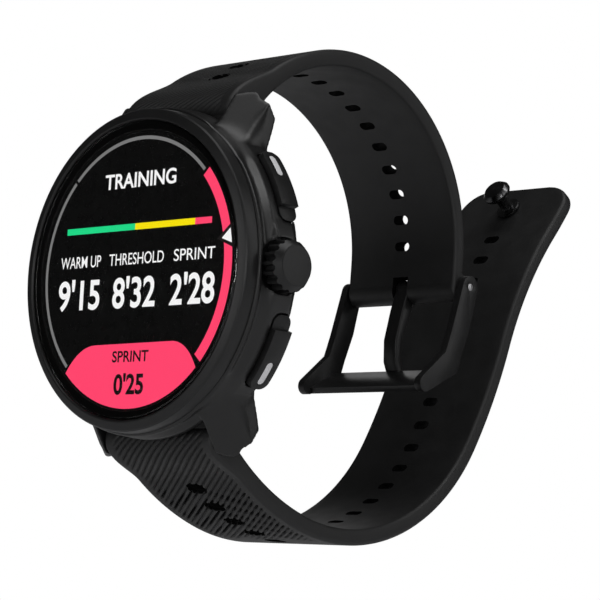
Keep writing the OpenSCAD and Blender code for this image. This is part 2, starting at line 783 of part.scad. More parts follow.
bezel();
cover_glass();
glass_seal();
display_panel();
display_plate();
display_flex();
mid_case();
chassis();
main_board();
board_chips();
processor_shield();
battery();
gnss_antenna();
vibration_motor();
sounder();
pressure_vent();
back_gasket();
back_cover();
back_screws();
sensor_window();
sensor_board();
sensor_leds();
photodiodes();
charging_contacts();
crown_tube();
crown_switch();
upper_switch();
lower_switch();
crown_thrust_plate();
crown_spring();
crown_knob();
crown_shaft();
crown_seals();
crown_clip();
upper_button_cap();
upper_button_marker();
upper_button_stem();
upper_button_seal();
upper_button_clip();
upper_button_spring();
lower_button_cap();
lower_button_marker();
lower_button_stem();
lower_button_seal();
lower_button_clip();
lower_button_spring();
buckle_strap();
buckle_strap_bar();
buckle_strap_lever();
tail_strap();
tail_strap_bar();
tail_strap_lever();
strap_stud();
stud_backplate();
buckle_frame();
buckle_pin();
buckle_tongue();
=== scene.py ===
"""GPS running watch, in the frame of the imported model.

+X points to the crown, +Y from the glass to the wrist and +Z to 12 o'clock. Lengths are in mm
unless a comment says otherwise, and MM turns them into Blender's metres.
"""
import json
import math

import bmesh
import bpy
from mathutils import Matrix, Vector


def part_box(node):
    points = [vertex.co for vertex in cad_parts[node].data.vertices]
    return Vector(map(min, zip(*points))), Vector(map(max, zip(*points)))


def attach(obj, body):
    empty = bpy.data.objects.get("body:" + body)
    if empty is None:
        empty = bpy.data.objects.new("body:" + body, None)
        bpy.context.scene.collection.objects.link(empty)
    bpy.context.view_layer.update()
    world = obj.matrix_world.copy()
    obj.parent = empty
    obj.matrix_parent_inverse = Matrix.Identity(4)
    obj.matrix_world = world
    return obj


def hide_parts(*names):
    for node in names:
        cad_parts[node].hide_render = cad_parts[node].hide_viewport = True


MM = 0.001
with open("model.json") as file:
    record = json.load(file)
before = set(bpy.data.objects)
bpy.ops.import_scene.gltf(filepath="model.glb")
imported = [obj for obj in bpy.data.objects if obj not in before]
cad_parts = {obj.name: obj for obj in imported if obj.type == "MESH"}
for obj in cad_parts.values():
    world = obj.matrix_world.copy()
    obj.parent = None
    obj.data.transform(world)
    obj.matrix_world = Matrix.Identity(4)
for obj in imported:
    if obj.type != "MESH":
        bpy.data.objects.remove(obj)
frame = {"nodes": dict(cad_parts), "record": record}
nodes = frame["nodes"]
bodies = frame["record"]["behaviour"]["bodies"]
slot_of = {p["node"]: p["material_slot"] for p in frame["record"]["subparts"]}
body_of = {n: b for b, members in bodies.items() for n in members}
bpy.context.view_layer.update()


# ---------------------------------------------------------------- materials

# How many fine grains the coarse noise is across.
COARSE_GRAINS = 14


def new_material(name):
    """A material with its node tree and its shader."""
    mat = bpy.data.materials.new(name)
    mat.use_nodes = True
    tree = mat.node_tree
    return mat, tree, tree.nodes["Principled BSDF"]


def noise(tree, size, detail):
    """A noise whose features are about this many mm across."""
    node = tree.nodes.new("ShaderNodeTexNoise")
    node.inputs["Scale"].default_value = 1 / (size * MM)
    node.inputs["Detail"].default_value = detail
    return node


def two_colours(tree, low, first, high, last):
    """A ramp from one colour at low to another at high."""
    ramp = tree.nodes.new("ShaderNodeValToRGB")
    for element, position, colour in zip(ramp.color_ramp.elements, (low, high), (first, last)):
        element.position = position
        element.color = (*colour, 1)
    return ramp


def textured(name, dark, light, rough, metallic=0.0, grain=0.25, bump=0.01,
             rough_spread=0.08, **fixed):
    """A material whose colour, roughness and relief vary with a fine and a coarse noise.

    grain is the size of the fine noise and bump the height of the relief, in mm. fixed holds
    constant values for the shader's other sockets.
    """
    mat, tree, bsdf = new_material(name)
    link = tree.links.new
    coords = tree.nodes.new("ShaderNodeTexCoord")
    fine = noise(tree, grain, 3)
    coarse = noise(tree, COARSE_GRAINS * grain, 4)
    both = tree.nodes.new("ShaderNodeMath")
    both.operation = "ADD"
    half = tree.nodes.new("ShaderNodeMath")
    half.operation = "MULTIPLY"
    half.inputs[1].default_value = 0.5
    ramp = two_colours(tree, 0.35, dark, 0.65, light)
    roughness = tree.nodes.new("ShaderNodeMapRange")
    roughness.inputs["From Min"].default_value = 0.3
    roughness.inputs["From Max"].default_value = 0.7
    roughness.inputs["To Min"].default_value = rough - rough_spread
    roughness.inputs["To Max"].default_value = rough + rough_spread
    relief = tree.nodes.new("ShaderNodeBump")
    relief.inputs["Strength"].default_value = 1
    relief.inputs["Distance"].default_value = bump * MM
    link(coords.outputs["Object"], fine.inputs["Vector"])
    link(coords.outputs["Object"], coarse.inputs["Vector"])
    link(fine.outputs["Fac"], both.inputs[0])
    link(coarse.outputs["Fac"], both.inputs[1])
    link(both.outputs[0], half.inputs[0])
    link(half.outputs[0], ramp.inputs["Fac"])
    link(ramp.outputs["Color"], bsdf.inputs["Base Color"])
    link(coarse.outputs["Fac"], roughness.inputs["Value"])
    link(roughness.outputs["Result"], bsdf.inputs["Roughness"])
    link(fine.outputs["Fac"], relief.inputs["Height"])
    link(relief.outputs["Normal"], bsdf.inputs["Normal"])
    bsdf.inputs["Metallic"].default_value = metallic
    for key, value in fixed.items():
        bsdf.inputs[key.replace("_", " ")].default_value = value
    return mat


def glowing(name, colour, strength=1.0):
    """A lit area of the display, made of fine dots."""
    mat, tree, bsdf = new_material(name)
    link = tree.links.new
    coords = tree.nodes.new("ShaderNodeTexCoord")
    dots = tree.nodes.new("ShaderNodeTexVoronoi")
    dots.inputs["Scale"].default_value = 1 / (0.08 * MM)
    dots.inputs["Randomness"].default_value = 0
    ramp = two_colours(tree, 0.5, colour, 0.9, [0.8 * c for c in colour])
    link(coords.outputs["Object"], dots.inputs["Vector"])
    link(dots.outputs["Distance"], ramp.inputs["Fac"])
    link(ramp.outputs["Color"], bsdf.inputs["Emission Color"])
    bsdf.inputs["Emission Strength"].default_value = strength
    bsdf.inputs["Base Color"].default_value = (0, 0, 0, 1)
    bsdf.inputs["Roughness"].default_value = 0.4
    bsdf.inputs["Specular IOR Level"].default_value = 0.2
    return mat


def clear_glass(name):
    """Glass with faint smudges in its polish."""
    mat, tree, bsdf = new_material(name)
    coords = tree.nodes.new("ShaderNodeTexCoord")
    smudge = noise(tree, 6, 2)
    rough = tree.nodes.new("ShaderNodeMapRange")
    rough.inputs["To Min"].default_value = 0.0
    rough.inputs["To Max"].default_value = 0.03
    tree.links.new(coords.outputs["Object"], smudge.inputs["Vector"])
    tree.links.new(smudge.outputs["Fac"], rough.inputs["Value"])
    tree.links.new(rough.outputs["Result"], bsdf.inputs["Roughness"])
    bsdf.inputs["Base Color"].default_value = (1, 1, 1, 1)
    bsdf.inputs["Transmission Weight"].default_value = 1
    bsdf.inputs["IOR"].default_value = 1.45
    return mat


def grey(v):
    """A grey with a trace of blue."""
    return (v, v, v * 1.02)


LOOKS = {}


def look(name, *values, **named):
    """Adds a textured material to the looks."""
    LOOKS[name] = textured(name, *values, **named)


# Each row gives the dark colour, the light colour, the roughness and, for a metal, how metallic
# it is.
look("black_metal", grey(0.01), grey(0.013), 0.4, 0.3, grain=0.12, bump=0.0006, rough_spread=0.02)
look("satin_metal", grey(0.016), grey(0.02), 0.36, 0.4, grain=0.12, bump=0.0006, rough_spread=0.02)
look("black_case", grey(0.006), grey(0.008), 0.35, grain=0.15, bump=0.002, rough_spread=0.02)
look("display", grey(0.0), grey(0.001), 0.3, grain=0.1, bump=0.0005, Specular_IOR_Level=0.1)
look("steel", grey(0.42), grey(0.62), 0.3, 1.0, grain=0.1, bump=0.002)
look("seal_rubber", grey(0.01), grey(0.02), 0.6)
look("flex_film", (0.45, 0.18, 0.03), (0.62, 0.28, 0.05), 0.35)
look("inner_plastic", grey(0.03), grey(0.05), 0.5)
look("board", (0.006, 0.07, 0.03), (0.012, 0.12, 0.05), 0.4, grain=0.5)
look("chip", grey(0.012), grey(0.02), 0.45)
look("battery_foil", grey(0.5), grey(0.62), 0.35, 1.0, grain=1.0, bump=0.02)
look("gold", (0.7, 0.46, 0.14), (0.85, 0.6, 0.22), 0.25, 1.0)
look("brass", (0.6, 0.4, 0.12), (0.75, 0.52, 0.18), 0.3, 1.0)
look("vent_fabric", grey(0.55), grey(0.7), 0.9, grain=0.1, bump=0.03)
look("window", grey(0.004), grey(0.007), 0.08, grain=0.4, bump=0.0005)
look("led", (0.3, 0.6, 0.3), (0.45, 0.8, 0.45), 0.2)
look("diode", grey(0.02), grey(0.05), 0.2)
look("gunmetal", grey(0.07), grey(0.11), 0.24, 1.0, grain=0.15, bump=0.001)
look("marker_white", grey(0.75), grey(0.84), 0.3, grain=0.3, bump=0.001)
# Painted shade: the walls of the strap's slots are the strap's own rubber, made nearly black and
# dull so that the slots look shaded.
look("painted_hole_shade", grey(0.001), grey(0.002), 0.8, grain=0.2, bump=0.004, Specular_IOR_Level=0.08)
look("strap_rubber", grey(0.008), grey(0.011), 0.55, grain=0.2, bump=0.004, rough_spread=0.04)
LOOKS["glass"] = clear_glass("glass")


# ---------------------------------------------------------------- mesh helpers

LATHE_STEPS = 240
ARC_STEPS = 4


def in_scene(name, data):
    """A new object with this data, in the scene."""
    obj = bpy.data.objects.new(name, data)
    bpy.context.scene.collection.objects.link(obj)
    return obj


def mesh_of(name, verts, faces):
    """A mesh from points and faces."""
    mesh = bpy.data.meshes.new(name)
    mesh.from_pydata(verts, [], faces)
    return mesh


def fix_normals(mesh):
    """Turns every face of a closed mesh outward."""
    shell = bmesh.new()
    shell.from_mesh(mesh)
    bmesh.ops.recalc_face_normals(shell, faces=shell.faces)
    shell.to_mesh(mesh)
    shell.free()


def apply_modifiers(obj):
    """Puts the shape that an object's modifiers make in place of its mesh."""
    graph = bpy.context.evaluated_depsgraph_get()
    made = bpy.data.meshes.new_from_object(obj.evaluated_get(graph))
    obj.modifiers.clear()
    old, obj.data = obj.data, made
    bpy.data.meshes.remove(old)


def settle(obj, body, look_name, replaces=(), sharp_from=35):
    """Gives a piece its look, its shading and its body.

    A strap already has its two materials, its rubber and the painted shade on its slot walls, and
    keeps them.
    Edges that turn by more than sharp_from degrees stay sharp.
    """
    if len(obj.data.materials) < 2:
        obj.data.materials.clear()
        obj.data.materials.append(LOOKS[look_name])
    obj.data.shade_smooth()
    obj.data.set_sharp_from_angle(angle=math.radians(sharp_from))
    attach(obj, body)
    if replaces:
        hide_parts(*replaces)


def add_piece(name, verts, faces, body, look_name, replaces=(), sharp_from=35):
    """Makes a piece from points in mm, riding on a body."""
    mesh = mesh_of(name, [Vector(v) * MM for v in verts], faces)
    mesh.validate()
    fix_normals(mesh)
    settle(in_scene(name, mesh), body, look_name, replaces, sharp_from)


def lathe(profile):
    """A closed outline of (radius, y), turned about the watch's own axis."""
    verts, faces, n = [], [], len(profile)
    for k in range(LATHE_STEPS):
        a = 2 * math.pi * k / LATHE_STEPS
        verts += [(r * math.cos(a), y, -r * math.sin(a)) for r, y in profile]
    for k in range(LATHE_STEPS):
        a, b = k * n, ((k + 1) % LATHE_STEPS) * n
        for i in range(n):
            j = (i + 1) % n
            faces.append((a + i, a + j, b + j, b + i))
    return verts, faces


def curve_to(p0, p1, p2, steps=10):
    """Points of a quadratic curve from p0 to p2 that leans to p1."""
    fractions = [k / steps for k in range(steps + 1)]
    return [tuple((1 - t) ** 2 * a + 2 * t * (1 - t) * b + t * t * c for a, b, c in zip(p0, p1, p2))
            for t in fractions]


def soften(points, radius, closed=True):
    """Rounds the corners of an outline with arcs of about this radius."""
    out, n = [], len(points)
    for i, point in enumerate(points):
        if not closed and i in (0, n - 1):
            out.append(tuple(point))
            continue
        p = Vector(point)
        a, b = Vector(points[i - 1]) - p, Vector(points[(i + 1) % n]) - p
        turn = a.angle(b)
        reach = min(radius / math.tan(turn / 2), 0.45 * a.length, 0.45 * b.length)
        if reach < 1e-4 or turn > 3.1:
            out.append(tuple(p))
        else:
            out += curve_to(p + a.normalized() * reach, p, p + b.normalized() * reach, ARC_STEPS)
    return out


def smoothstep(a, b, v):
    """Goes smoothly from 0 at a to 1 at b, whichever of the two is larger."""
    v = min(1, max(0, (v - a) / (b - a)))
    return v * v * (3 - 2 * v)


# ---------------------------------------------------------------- straps

def ahead(angle):
    """The unit vector that points at an angle."""
    return Vector((math.cos(angle), math.sin(angle)))


def leftward(angle):
    """The unit vector to the left of ahead."""
    return Vector((-math.sin(angle), math.cos(angle)))


def walker(start, heading, arcs):
    """Lays a strap's middle line in the (y, z) plane.

    arcs are (radius in mm, turn in degrees), and a negative radius turns right. Returns
    place(s, t), which gives the point (y, z) at a distance s along the line and a height t to
    its left, and the line's length. Before its start and past its end the line goes on straight.
    """
    parts, p, h, length = [], Vector(start), math.radians(heading), 0.0
    first_p, first_h = p, h
    for radius, turn in arcs:
        parts.append((length, p, h, radius))
        centre = p + radius * leftward(h)
        h += math.copysign(math.radians(turn), radius)
        p = centre - radius * leftward(h)
        length += abs(radius) * math.radians(turn)

    def place(s, t):
        """The point (y, z) at a distance s and a height t."""
        if s >= length:
            return p + (s - length) * ahead(h) + t * leftward(h)
        if s <= 0:
            return first_p + s * ahead(first_h) + t * leftward(first_h)
        begin, base, angle, radius = [part for part in parts if part[0] < s][-1]
        centre = base + radius * leftward(angle)
        return centre - (radius - t) * leftward(angle + (s - begin) / radius)

    return place, length


BUCKLE_WALK, BUCKLE_LEN = walker((-1.1, 22.4), 57.8, [(-25.2, 149.3), (-400, 0.65)])
TAIL_WALK, TAIL_LEN = walker((-1.3, -23.7), -46.6,
                             [(37.4, 28.5), (30.5, 78), (84, 12), (-61, 20.2), (82, 6.7)])

# Half the straps' width, their thickness, and the radii of their long edges and the tail's corners.
HALF_W, STRAP_T = 11.0, 2.4
EDGE_R, TIP_R = 0.65, 4.2

# The round block at the bar and the loop round the buckle's pin. An _S is a distance along the
# strap, a _T a height over its middle line, and an _END where the skin ends, just inside the round.
BLOCK_R, BLOCK_END, BAR_BORE_R = 2.38, 2.37, 0.95
BUCKLE_BAR_T = 1.5
TAIL_BAR_S, TAIL_BAR_T = -1.12, 0.45
LOOP_R, LOOP_END, PIN_BORE_R = 2.1, 2.09, 0.6
LOOP_T = 0.94

# The notch in the loop for the buckle's tongue, as an outline of (x, s).
TONGUE_NOTCH = [(-1.5, -2.0), (1.5, -2.0), (1.5, 4), (-1.5, 4)]

# The row of slots: the first one's place, the pitch, how many, and how many are countersunk.
BUCKLE_SLOTS = (8.3, 4.24, 14, 4)
TAIL_SLOTS = (7.3, 4.3, 22, 5)
SLOT_SIZE, SINK_SIZE = (2.9, 1.5), (3.7, 2.1)

# The height of a countersink's floor, and a height and a width that are well outside a strap.
SINK_FLOOR = 0.75
THROUGH, ACROSS = 6, 12

# The diagonal grooves next to the case, and the deeper pits in rows along them.
RIB_PITCH, RIB_SLOPE, RIB_END = 1.36, 1.4, 24.0
RIB_DEPTH, PIT_DEPTH = 0.24, 0.5
PIT_PITCH, PIT_SLANT = 3.0, 0.48

# How finely a strap's skin is divided, along it and round its cross-section.
RIB_STEP, PLAIN_STEP, END_STEP, END_RUN = 0.13, 0.45, 0.15, 6.5
OUTER_POINTS, INNER_STEPS, CORNER_STEPS = 150, 16, 5


def rib_depth(x, s, lean):
    """How deep the diagonal grooves are at (x, s) on the outer face.

    lean is 1 or -1, the way they slant. The grooves stop short of the strap's edges and fade
    out along it, and the pits start a little way from the bar.
    """
    phase = (x - lean * RIB_SLOPE * s) / RIB_PITCH
    groove = smoothstep(0.26, 0.46, abs(phase - math.floor(phase) - 0.5))
    inside = smoothstep(HALF_W - 1.4, HALF_W - 2.4, abs(x))
    fade = smoothstep(RIB_END, RIB_END - 4, s)
    row = (s - PIT_SLANT * abs(x)) / PIT_PITCH
    pit = smoothstep(7, 10, s) * smoothstep(0.3, 0.16, abs(row - math.floor(row) - 0.5))
    return (RIB_DEPTH + PIT_DEPTH * pit) * groove * inside * fade


def corner(cx, cy, r, start, first, last):
    """Points of a rounded corner of a cross-section, clockwise from the angle start."""
    angles = [math.radians(start - 90 * k / CORNER_STEPS) for k in range(first, last + 1)]
    return [(cx + r * math.cos(a), cy + r * math.sin(a)) for a in angles]


def cross_section(s, low, high, w, lean):
    """Points (x, t) round the strap at s, from height low to high and w to each side."""
    r = min(EDGE_R, 0.45 * (high - low), 0.5 * w)
    ring = []
    for i in range(OUTER_POINTS):
        x = (w - r) * (2 * i / (OUTER_POINTS - 1) - 1)
        dip = rib_depth(x, s, lean) if s < RIB_END else 0
        ring.append((x, high - min(dip, 0.3 * (high - low))))
    ring += corner(w - r, high - r, r, 90, 1, CORNER_STEPS)
    ring += corner(w - r, low + r, r, 0, 1, CORNER_STEPS)
    ring += [((w - r) * (1 - 2 * i / INNER_STEPS), low) for i in range(1, INNER_STEPS)]
    ring += corner(r - w, low + r, r, 270, 0, CORNER_STEPS)
    ring += corner(r - w, high - r, r, 180, 1, CORNER_STEPS - 1)
    return ring


def rubber_and_painted_hole_shade(mesh):
    """The strap's two materials: its rubber skin, and painted shade for the walls of its slots,
    which are the same rubber made nearly black and dull.
    """
    mesh.materials.append(LOOKS["strap_rubber"])
    mesh.materials.append(LOOKS["painted_hole_shade"])


def flat_strap(name, side, s_from, s_to, profile, half_width):
    """A strap laid out straight, in the space (x, s, t), as one skin round its cross-sections.

    side is 1 where the outer face is on the walk's left and -1 where it is on its right.
    profile(s) gives the inner and outer heights, and half_width(s) the half width.
    """
    stations, s = [], s_from
    while s < s_to:
        stations.append(s)
        step = RIB_STEP if s < RIB_END else PLAIN_STEP
        s += step if s + step <= s_to - END_RUN else END_STEP
    stations.append(s_to)
    verts = []
    for s in stations:
        ring = cross_section(s, *profile(s), half_width(s), side)
        verts += [(x, s, side * t) for x, t in ring]
    n, last = len(ring), len(stations) - 1
    faces = []
    for j in range(last):
        a, b = j * n, (j + 1) * n
        faces += [(a + i, a + (i + 1) % n, b + (i + 1) % n, b + i) for i in range(n)]
    faces += [tuple(range(n)), tuple(range(last * n, (last + 1) * n))]
    mesh = mesh_of(name, verts, faces)
    rubber_and_painted_hole_shade(mesh)
    obj = in_scene(name, mesh)
    fix_normals(mesh)
    return obj


def capsule_outline(w, h, steps=8):
    """A slot w wide and h high with round ends."""
    r, out = h / 2, []
    for cx, start in ((w / 2 - r, -90), (r - w / 2, 90)):
        angles = [math.radians(start + 180 * k / steps) for k in range(steps + 1)]
        out += [(cx + r * math.cos(a), r * math.sin(a)) for a in angles]
    return out


def prisms(items):
    """Cutting prisms in flat strap space, from rows of (outline, s, low, high)."""
    verts, faces = [], []
    for outline, s, low, high in items:
        base, n = len(verts), len(outline)
        verts += [(u, s + v, t) for t in (low, high) for u, v in outline]
        faces += [tuple(base + i for i in range(n)), tuple(base + n + i for i in range(n))]
        faces += [(base + i, base + (i + 1) % n, base + n + (i + 1) % n, base + n + i)
                  for i in range(n)]
    mesh = mesh_of("cut", verts, faces)
    fix_normals(mesh)
    rubber_and_painted_hole_shade(mesh)
    # The walls that these prisms cut take the second material, the painted shade.
    for p in mesh.polygons:
        p.material_index = 1
    return in_scene("cut", mesh)


def carve(obj, cutter):
    """Cuts one object out of another and removes the cutter."""
    cut = obj.modifiers.new("carve", "BOOLEAN")
    cut.operation = "DIFFERENCE"
    cut.object = cutter
    cut.solver = "EXACT"
    apply_modifiers(obj)
    bpy.data.objects.remove(cutter)


def punch(obj, slots, outer, others=()):
    """Cuts the row of slots and the other prisms through a strap, then the countersinks.

    outer is the sign of t on the outer face.
    """
    start, pitch, count, sunk = slots
    places = [start + pitch * i for i in range(count)]
    slot, sink = capsule_outline(*SLOT_SIZE), capsule_outline(*SINK_SIZE)
    carve(obj, prisms([(slot, s, -THROUGH, THROUGH) for s in places] + list(others)))
    low, high = sorted((outer * SINK_FLOOR, outer * THROUGH))
    carve(obj, prisms([(sink, s, low, high) for s in places[:sunk]]))


def bore(obj, s, t, r, steps=32):
    """Cuts a round bore across the strap, in flat strap space."""
    angles = [2 * math.pi * k / steps for k in range(steps)]
    verts = [(x, s + r * math.cos(a), t + r * math.sin(a)) for x in (-ACROSS, ACROSS)
             for a in angles]
    faces = [tuple(range(steps)), tuple(range(steps, 2 * steps))]
    faces += [(i, (i + 1) % steps, steps + (i + 1) % steps, steps + i) for i in range(steps)]
    mesh = mesh_of("bore", verts, faces)
    fix_normals(mesh)
    carve(obj, in_scene("bore", mesh))


def bend(obj, walk):
    """Bends a flat strap along its walk."""
    for v in obj.data.vertices:
        y, z = walk(v.co.y, v.co.z)
        v.co = Vector((v.co.x, y, z)) * MM


def half_chord(radius, s):
    """Half the height of a circle at a distance s from its centre, and 0 beyond it."""
    return math.sqrt(max(0.0025, radius * radius - s * s)) if abs(s) < radius else 0


def with_block(s, low, high, centre_t, run):
    """Adds the round block at the bar, which is at s 0, to a strap's two heights.

    The outer face runs down from the block to the strap's own height over a length of run.
    """
    rise = half_chord(BLOCK_R, s)
    if s <= 0:
        return centre_t - rise, centre_t + rise
    if rise:
        low = min(low, centre_t - rise)
    return low, high + (centre_t + BLOCK_R - high) * smoothstep(run, 0, s)


def buckle_profile(s):
    """The heights of the buckle half: a block, a strap that thins, and the loop at its end."""
    high = STRAP_T / 2 + 0.35 * smoothstep(18, 4, s) - 0.12 * smoothstep(30, 60, s)
    low = -STRAP_T / 2 + 0.1 * smoothstep(30, 60, s)
    low, high = with_block(s, low, high, BUCKLE_BAR_T, 9)
    rise = half_chord(LOOP_R, s - BUCKLE_LEN)
    if s >= BUCKLE_LEN:
        return LOOP_T - rise, LOOP_T + rise
    if rise:
        return min(low, LOOP_T - rise), max(high, LOOP_T + rise)
    return low, high


def tail_profile(s):
    """The heights of the tail half: a block and a strap that thins."""
    high = STRAP_T / 2 + 0.1 * smoothstep(18, 4, s) - 0.15 * smoothstep(30, 90, s)
    low = -STRAP_T / 2 + 0.1 * smoothstep(30, 90, s)
    return with_block(s - TAIL_BAR_S, low, high, TAIL_BAR_T, 7)


def tail_width(s):
    """Half the tail's width, which ends in round corners."""
    into = s - (TAIL_LEN - TIP_R)
    if into <= 0:
        return HALF_W
    return HALF_W - TIP_R + math.sqrt(max(0.01, TIP_R * TIP_R - into * into))


def make_buckle_strap():
    """The short half, which carries the buckle. Its outer face is on the walk's left."""
    obj = flat_strap("buckle_strap_skin", 1, -BLOCK_END, BUCKLE_LEN + LOOP_END,
                     buckle_profile, lambda s: HALF_W)
    punch(obj, BUCKLE_SLOTS, 1, [(TONGUE_NOTCH, BUCKLE_LEN + 0.1, -THROUGH, THROUGH)])
    bore(obj, 0, BUCKLE_BAR_T, BAR_BORE_R)
    bore(obj, BUCKLE_LEN, LOOP_T, PIN_BORE_R)
    bend(obj, BUCKLE_WALK)
    settle(obj, "buckle_strap", "strap_rubber", ["buckle_strap"], 40)


def make_tail_strap():
    """The long half. Its outer face is on the walk's right."""
    obj = flat_strap("tail_strap_skin", -1, TAIL_BAR_S - BLOCK_END, TAIL_LEN,
                     tail_profile, tail_width)
    punch(obj, TAIL_SLOTS, -1)
    bore(obj, TAIL_BAR_S, -TAIL_BAR_T, BAR_BORE_R)
    bend(obj, TAIL_WALK)
    settle(obj, "tail_strap", "strap_rubber", ["tail_strap"], 40)


make_buckle_strap()
make_tail_strap()


# ---------------------------------------------------------------- display

SCREEN_Y = -10.215
INK_LIFT, MARK_LIFT, TEXT_LIFT = 0.006, 0.012, 0.015
SCREEN = {
    "white": glowing("lit_white", (1, 1, 1)),
    "grey": glowing("lit_grey", (0.2, 0.2, 0.2)),
    "pink": glowing("lit_pink", (1, 0.055, 0.15), 1.12),
    "green": glowing("lit_green", (0.012, 0.74, 0.26)),
    "yellow": glowing("lit_yellow", (1, 0.82, 0.0)),
    "ink": textured("lit_ink", (0.004, 0.0, 0.001), (0.008, 0.001, 0.002), 0.5,
                    grain=0.1, bump=0.0),
}
LOOKS.update({"screen_" + k: v for k, v in SCREEN.items()})
drawn = {k: ([], []) for k in SCREEN}


def draw(colour, outline, lift=0.0):
    """Adds a flat patch to the display, from an outline of (x, z). lift brings it forward."""
    verts, faces = drawn[colour]
    base = len(verts)
    verts += [(x, SCREEN_Y - lift, z) for x, z in outline]
    faces.append(tuple(range(base, base + len(outline))))


def polar(r, a):
    """A point (x, z) at radius r and angle a, measured from 12 o'clock clockwise."""
    return (r * math.sin(math.radians(a)), r * math.cos(math.radians(a)))


def draw_arc(colour, r0, r1, a0, a1, steps=90):
    """A band between two radii from angle a0 to a1, measured from 12 o'clock clockwise."""
    for k in range(steps):
        b0, b1 = (a0 + (a1 - a0) * (k + d) / steps for d in (0, 1))
        draw(colour, [polar(r0, b0), polar(r1, b0), polar(r1, b1), polar(r0, b1)])


def draw_bar(colour, x0, x1, z0=5.6, z1=6.5):
    """A stretch of the coloured bar over the three columns."""
    draw(colour, [(x0, z0), (x1, z0), (x1, z1), (x0, z1)])


def draw_text(colour, words, x, z, height, width, weight, lift=0.0):
    """Words centred on x with their foot at z, squeezed to a height and width in mm."""
    curve = bpy.data.curves.new("words", "FONT")
    curve.body = words
    curve.offset = weight
    obj = in_scene("words", curve)
    graph = bpy.context.evaluated_depsgraph_get()
    mesh = bpy.data.meshes.new_from_object(obj.evaluated_get(graph))
    xs = [v.co.x for v in mesh.vertices]
    zs = [v.co.y for v in mesh.vertices]
    kx, kz = width / (max(xs) - min(xs)), height / (max(zs) - min(zs))
    mid, foot = (max(xs) + min(xs)) / 2, min(zs)
    verts, faces = drawn[colour]
    base = len(verts)
    verts += [(x + (v.co.x - mid) * kx, SCREEN_Y - lift, z + (v.co.y - foot) * kz)
              for v in mesh.vertices]
    faces += [tuple(base + i for i in p.vertices) for p in mesh.polygons]
    bpy.data.objects.remove(obj)
    bpy.data.curves.remove(curve)
    bpy.data.meshes.remove(mesh)


def draw_display():
    """The training page: an arc of effort, three columns and the field below them."""
    draw_arc("grey", 18.3, 18.8, -135.4, -45.6)
    draw_arc("grey", 18.3, 18.8, -44.2, 45.2)
    draw_arc("pink", 17.85, 19.4, 46.6, 132.8)
    draw("ink", [(16.3, 3.35), (19.3, 5.75), (19.8, 1.9)], INK_LIFT)
    draw("white", [(17.2, 3.4), (18.8, 4.75), (19.2, 2.7)], MARK_LIFT)
    draw_bar("green", -14.6, -0.28)
    draw_bar("yellow", -0.28, 11.8)
    draw_bar("pink", 11.8, 15.1)
    draw_text("white", "TRAINING", 0.25, 11.58, 2.2, 14.6, 0.02)
    for words, x, width in (("WARM UP", -11.3, 8.55), ("THRESHOLD", 0.33, 11.2),
                            ("SPRINT", 12.0, 8.1)):
        draw_text("white", words, x, 0.75, 1.66, width, 0.004)
    for words, x, width in (("9'15", -11.3, 8.8), ("8'32", 0.2, 8.75), ("2'28", 11.9, 8.8)):
        draw_text("white", words, x, -5.35, 4.5, width, 0.02)
    field_r, left, right = 19.35, 223, 136
    field = curve_to(polar(field_r, left), (-10.6, -10.4), (-7.2, -10.35))
    field += curve_to((8.6, -10.2), (11.6, -10.3), polar(field_r, right))
    field += [polar(field_r, a) for a in range(right + 3, left, 3)]
    draw("pink", field)
    draw_text("ink", "SPRINT", 0.25, -12.87, 1.6, 7.4, 0.02, TEXT_LIFT)
    draw_text("ink", "0'25", 0.2, -17.4, 3.0, 6.1, 0.03, TEXT_LIFT)


draw_display()
for colour, (verts, faces) in drawn.items():
    add_piece("screen_" + colour, verts, faces, "case", "screen_" + colour)


# ---------------------------------------------------------------- glass, case and crown

# The bezel's seat for the glass, and the ledge under the glass's rim.
BEZEL_BORE_R = 20.94
LEDGE_R, LEDGE_Y = 19.7, -10.05

# The button pockets: how far out their floors are, how far round them the case keeps its
# shape, and how far in their floors move.
POCKET_FLOOR_R, POCKET_MARGIN, POCKET_SHIFT = 20.95, 0.8, 0.16

# The size of the grid that the case's skin is remade on.
CASE_GRID = 0.25
CROWN_TEETH, TOOTH_STEPS = 16, 22

# The radius at which a turned outline stops, where a flat face closes it.
NEAR_AXIS = 0.02


def mm_box(name):
    """A node's lowest and highest corners in mm."""
    low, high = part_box(name)
    return [v / MM for v in low], [v / MM for v in high]


def within(point, low, high, margin):
    """Whether a point is in a box, or no more than a margin outside it."""
    return all(a - margin < c < b + margin for a, c, b in zip(low, point, high))


def make_glass():
    """The cover glass with truly flat faces and a polished chamfer."""
    low, high = mm_box("cover_glass")
    r, front, back, chamfer = (high[0] - low[0]) / 2, low[1], high[1], 0.22
    outline = soften([(NEAR_AXIS, front), (r - chamfer, front), (r, front + chamfer), (r, back),
                      (NEAR_AXIS, back)], 0.06, False)
    verts, faces = lathe(outline)
    n = len(outline)
    faces = [f for f in faces if not {n - 1, 0} <= {v % n for v in f}]
    faces += [tuple(k * n + end for k in range(LATHE_STEPS)) for end in (0, n - 1)]
    add_piece("glass_lens", verts, faces, "case", "glass", ["cover_glass"], 10)


